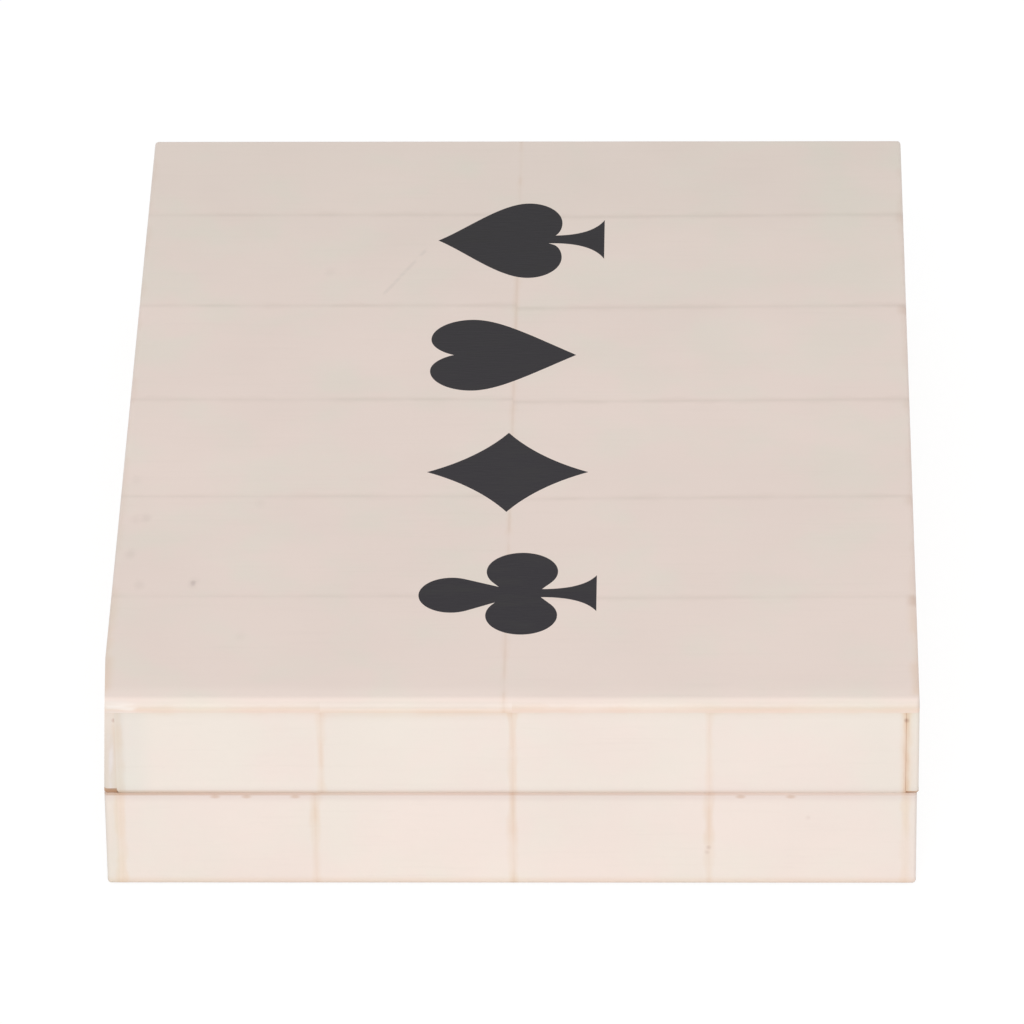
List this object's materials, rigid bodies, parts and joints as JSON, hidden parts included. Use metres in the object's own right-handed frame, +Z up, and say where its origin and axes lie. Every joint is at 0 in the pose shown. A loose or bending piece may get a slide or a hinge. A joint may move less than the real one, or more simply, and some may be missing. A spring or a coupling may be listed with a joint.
{
  "type": "card and dice box",
  "caption": "Low rectangular box with a lift-off lid, veneered in bone tiles, card suits let into the lid, and felt-lined wells for playing cards and dice.",
  "frame": {"origin": "middle of the box's footprint, on the table under the felt pad", "axes": "+X to the right and -Y to the front as in the picture, +Z up; the suits' heads point to -X"},
  "size_m": [0.127, 0.178, 0.034],
  "materials": {
    "bone": "satin",
    "suit_black": "satin",
    "core_board": "matte",
    "inner_wood": "satin",
    "well_felt": "matte",
    "base_felt": "matte"
  },
  "bodies": {
    "base": {"base_felt": "base_felt", "base_panel": "core_board", "base_tiles_back": "bone", "base_tiles_front": "bone", "base_tiles_left": "bone", "base_tiles_right": "bone", "base_wall_back": "core_board", "base_wall_front": "core_board", "base_wall_left": "core_board", "base_wall_right": "core_board", "card_felt_back": "well_felt", "card_felt_front": "well_felt", "dice_felt": "well_felt", "divider_back": "inner_wood", "divider_front": "inner_wood", "lip_back": "inner_wood", "lip_front": "inner_wood", "lip_left": "inner_wood", "lip_right": "inner_wood"},
    "lid": {"inlay_club": "suit_black", "inlay_diamond": "suit_black", "inlay_heart": "suit_black", "inlay_spade": "suit_black", "lid_lining": "well_felt", "lid_panel": "core_board", "lid_tiles_back": "bone", "lid_tiles_front": "bone", "lid_tiles_left": "bone", "lid_tiles_right": "bone", "lid_wall_back": "core_board", "lid_wall_front": "core_board", "lid_wall_left": "core_board", "lid_wall_right": "core_board", "top_tile_left_1": "bone", "top_tile_left_2": "bone", "top_tile_left_3": "bone", "top_tile_left_4": "bone", "top_tile_left_5": "bone", "top_tile_left_6": "bone", "top_tile_right_1": "bone", "top_tile_right_2": "bone", "top_tile_right_3": "bone", "top_tile_right_4": "bone", "top_tile_right_5": "bone", "top_tile_right_6": "bone"}
  },
  "joints": [
    {"name": "lid_lift", "type": "slide", "parent": "base", "child": "lid", "axis": [0, 0, 1], "range_m": [0, 0.06]}
  ]
}
